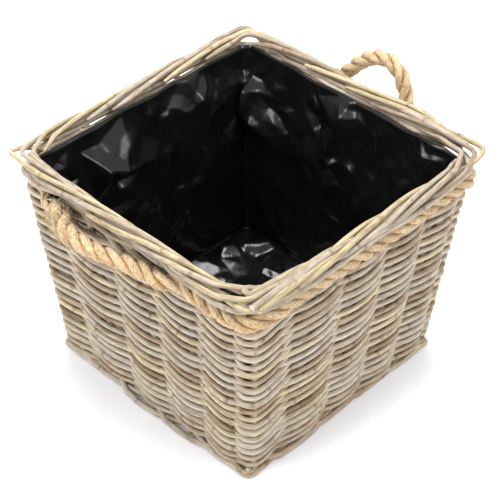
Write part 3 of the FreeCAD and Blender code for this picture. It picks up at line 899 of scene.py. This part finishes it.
def twisted_rope():
    """The rope as three strands, cut into its two courses, two handles and the four twisting roots."""
    line = smooth_line(rope_loop(), ROPE_SPACING, closed=True)
    strands = [strand[:-1] for strand in strand_lines(line)]
    count = len(line) - 1

    def numbers(shift):
        """The number of the rope's point nearest each root's point."""
        return {root: int(np.argmin(np.linalg.norm(line[:-1] - root_point(root, shift), axis=1)))
                for root in ROOTS}

    def stretch(first, last, name, body, nodes=()):
        tubes = rope_tubes(strands, line, np.arange(first, last + 1) % count)
        return tubes.build(name, manila, body, "rope", nodes)

    outer, inner = numbers(HINGE_REACH), numbers(-HINGE_REACH)
    stretch(outer["front_right"], outer["back_right"], "rope_course_right", "basket",
            ["rope_front_right", "rope_right", "rope_back_right"])
    stretch(outer["back_left"], outer["front_left"], "rope_course_left", "basket",
            ["rope_back_left", "rope_left", "rope_front_left"])
    stretch(inner["front_left"], inner["front_right"] + count, "rope_front_handle", "front_handle",
            ["front_handle"])
    stretch(inner["back_right"], inner["back_left"], "rope_back_handle", "back_handle", ["back_handle"])
    for root in ROOTS:
        piece = stretch(*sorted((outer[root], inner[root])), "rope_root_" + root, None)
        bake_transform(piece)


# -------- liner
FILM_AROUND = 4 * 140  # mesh steps round it
FLOOR_RINGS, WALL_RINGS = 50, 120  # and from the middle out, and up the wall
FILM_BEND, FILM_LIFT = 0.012, 0.0008  # corner radius, and least distance from the weave
LIP, LIP_SPAN, LIP_OUT = 0.991, 0.009, 0.0010  # shares of the wall; how far the lip leans out
# Layers of facets: pitch of their corners (along, up), seed, greatest height, share that stay down.
WALL_FOLDS = (((0.034, 0.042), 31, 0.024, 0.60), ((0.014, 0.019), 32, 0.0070, 0.50),
              ((0.090, 0.080), 33, 0.010, 0.35))
FLOOR_FOLDS = (((0.022, 0.060), 34, 0.016, 0.35), ((0.014, 0.022), 35, 0.005, 0.30))
FLOOR_TURN = np.array(((0.80, -0.60), (0.60, 0.80)))  # the floor's folds run aslant
FLOOR_MARGIN = 0.03


def facets(low, size, wrap, pitch, seed, most, still):
    """A layer of flat facets over a size (along, up): its corners, its triangles and the corners' heights.

    With wrap the layer closes on itself round the basket, and it ends flat at the top.
    """
    draw = np.random.default_rng(seed)
    across, high = int(round(size[0] / pitch[0])), int(round(size[1] / pitch[1])) + 2
    step = np.array((size[0] / across, pitch[1]))
    jitter = draw.uniform(-0.46, 0.46, (across, high, 2))
    rises = most * unit((draw.uniform(0, 1, (across, high)) - still) / (1 - still))
    if wrap:
        rises[:, high - 2:] = 0
    corners, heights = [], []
    for column in range(-2, across + 2) if wrap else range(across):
        for row in range(high):
            at = jitter[column % across, row]
            corners.append(Vector(low + (np.array((column, row - 0.5)) + at) * step))
            heights.append(rises[column % across, row])
    made, _, faces, origin = delaunay_2d_cdt(corners, [], [], 0, 1e-9)[:4]
    heights = np.array([heights[source[0]] for source in origin])
    return np.array([tuple(corner) for corner in made]), faces, heights


def crumple(points, *layer):
    """The heights of a layer of facets at points of the unrolled film."""
    corners, faces, heights = facets(points.min(axis=0), *layer)
    order = np.argsort(points[:, 0])
    along = points[order, 0]
    value = np.zeros(len(points))
    for face in faces:
        a, b, c = corners[list(face)]
        first, last = np.searchsorted(along, (min(a[0], b[0], c[0]), max(a[0], b[0], c[0])))
        chosen = order[first:last]
        shares = np.linalg.solve(np.stack([b - a, c - a], 1), (points[chosen] - a).T).T
        inside = (shares.min(axis=1) >= -1e-6) & (shares.sum(axis=1) <= 1 + 1e-6)
        rise = heights[list(face)]
        value[chosen[inside]] = rise[0] + shares[inside] @ (rise[1:] - rise[0])
    return value


def film_folds(q_all, z, flat):
    """Fold heights: tall facets near the lip, and broad and fine ones everywhere."""
    side_length = 2 * wall_mid(0.15)
    size = (4 * side_length, z.max() - z.min())
    wall = np.stack([q_all * side_length, np.broadcast_to(z, q_all.shape)], -1)[FLOOR_RINGS:]
    rise = (wall[..., 1] - z.min()) / size[1]
    tall, small, broad = (crumple(wall.reshape(-1, 2), size, True, *layer).reshape(rise.shape)
                          for layer in WALL_FOLDS)
    near_lip = unit((rise - 0.40) / 0.35)
    folds = np.zeros(q_all.shape)
    folds[FLOOR_RINGS:] = (FILM_LIFT + tall * (0.30 + 0.70 * near_lip) + small * (0.25 + 0.75 * near_lip)
                           + broad)
    base = flat[:FLOOR_RINGS].reshape(-1, 2) @ FLOOR_TURN
    extent = base.max(axis=0) - base.min(axis=0) + 2 * FLOOR_MARGIN
    ridges, creases = (crumple(base - FLOOR_MARGIN, extent, False, *layer) for layer in FLOOR_FOLDS)
    blend = unit((np.arange(FLOOR_RINGS)[:, None] / FLOOR_RINGS - 0.9) / 0.1)
    floor = FILM_LIFT + (ridges + creases).reshape(FLOOR_RINGS, -1)
    folds[:FLOOR_RINGS] = floor * (1 - blend) + folds[FLOOR_RINGS] * blend
    return folds


def liner():
    """The film as rings of points, from the middle of the floor out to the wall and up to the lip."""
    base_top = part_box("base_weave")[1].z + 0.001
    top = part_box("liner")[1].z + 0.003
    inset = WALL_THICK / 2 + 0.0016
    ring_no = np.arange(FLOOR_RINGS + WALL_RINGS)[:, None]
    up = unit((ring_no - FLOOR_RINGS + 1) / WALL_RINGS)
    spread = unit((ring_no + 1) / FLOOR_RINGS)
    z = base_top + (top - base_top) * up
    q_all = np.broadcast_to(np.arange(FILM_AROUND) / FILM_AROUND * 4, (len(ring_no), FILM_AROUND))
    half = np.broadcast_to((wall_mid(z) - inset) * spread, q_all.shape)
    flat, normal = ring(q_all, half, np.minimum(FILM_BEND, half * 0.6))
    folds = film_folds(q_all, z, flat)
    lip = unit((up - LIP) / LIP_SPAN)
    inward = folds * (1 - 0.9 * lip) - LIP_OUT * lip
    is_wall = unit((ring_no - FLOOR_RINGS + 4) / 8)
    flat = flat - normal * (inward * is_wall)[..., None]
    wave = 0.0018 * np.sin(q_all * 23) * np.sin(q_all * 7.3 + 1) * unit((up - 0.9) / 0.1)
    height = np.broadcast_to(z, q_all.shape) + folds * (1 - is_wall) + wave
    film_mesh(np.dstack([flat, height]))


def film_mesh(points):
    mesh = bpy.data.meshes.new("film_liner")
    verts = points.reshape(-1, 3).tolist()
    middle = len(verts)
    verts.append(points[0].mean(axis=0).tolist())
    faces = ring_quads(*points.shape[:2])
    faces += [[middle, k, (k + 1) % FILM_AROUND] for k in range(FILM_AROUND)]
    mesh.from_pydata(verts, [], faces)
    mesh.shade_smooth()
    piece = place_piece("film_liner", mesh, black_film, "basket", ["liner"])


# -------- floor, light and camera
CAMERA_PLACE = Vector((1.1379, -1.1575, 1.5017))
CAMERA_AZIMUTH = math.radians(44.40)
CAMERA_ELEVATION = math.radians(39.50)
CAMERA_ROLL = math.radians(-0.32)
CAMERA_LENS = 117.9


def camera():
    a, e = CAMERA_AZIMUTH, CAMERA_ELEVATION
    back = Vector((math.sin(a) * math.cos(e), -math.cos(a) * math.cos(e), math.sin(e)))
    right = Vector((0, 0, 1)).cross(back).normalized()
    up = back.cross(right)
    c, s = math.cos(CAMERA_ROLL), math.sin(CAMERA_ROLL)
    turned_right, turned_up = right * c - up * s, right * s + up * c
    data = bpy.data.cameras.new("camera")
    data.lens = CAMERA_LENS
    data.sensor_width = 36
    data.clip_start, data.clip_end = 0.05, 20
    made = new_object("camera", data)
    made.matrix_world = Matrix.Translation(CAMERA_PLACE) @ Matrix(
        (turned_right, turned_up, back)).transposed().to_4x4()
    bpy.context.scene.camera = made


def area_light(name, place, aim, size, power):
    data = bpy.data.lights.new(name, "AREA")
    data.shape = "DISK"
    data.size = size
    data.energy = power
    light = new_object(name, data)
    light.location = place
    light.rotation_mode = "QUATERNION"
    light.rotation_quaternion = (Vector(aim) - Vector(place)).to_track_quat("-Z", "Y")


def studio():
    scene = bpy.context.scene
    scene.view_settings.view_transform = "Standard"
    world = bpy.data.worlds.new("studio")
    world.use_nodes = True
    background = world.node_tree.nodes["Background"]
    background.inputs["Color"].default_value = (1, 1, 1, 1)
    background.inputs["Strength"].default_value = 1.0
    scene.world = world
    area_light("top_light", (-0.25, 0.25, 2.3), (0, 0, 0.1), 1.3, 62)
    area_light("front_light", (-0.3, -2.1, 1.5), (0, 0, 0.15), 1.2, 30)
    area_light("right_light", (2.1, 0.2, 1.5), (0, 0, 0.15), 1.2, 24)
    mesh = bpy.data.meshes.new("floor")
    mesh.from_pydata([(-6, -6, 0), (6, -6, 0), (6, 6, 0), (-6, 6, 0)], [], [(0, 1, 2, 3)])
    look = Look("pale_floor")
    mesh.materials.append(look.surface({"Base Color": (0.90, 0.92, 0.95, 1), "Roughness": 0.7}))
    new_object("floor", mesh)


camera()
studio()
woven_wall()
top_courses()
rolled_border()
foot_border()
woven_base()
twisted_rope()
liner()
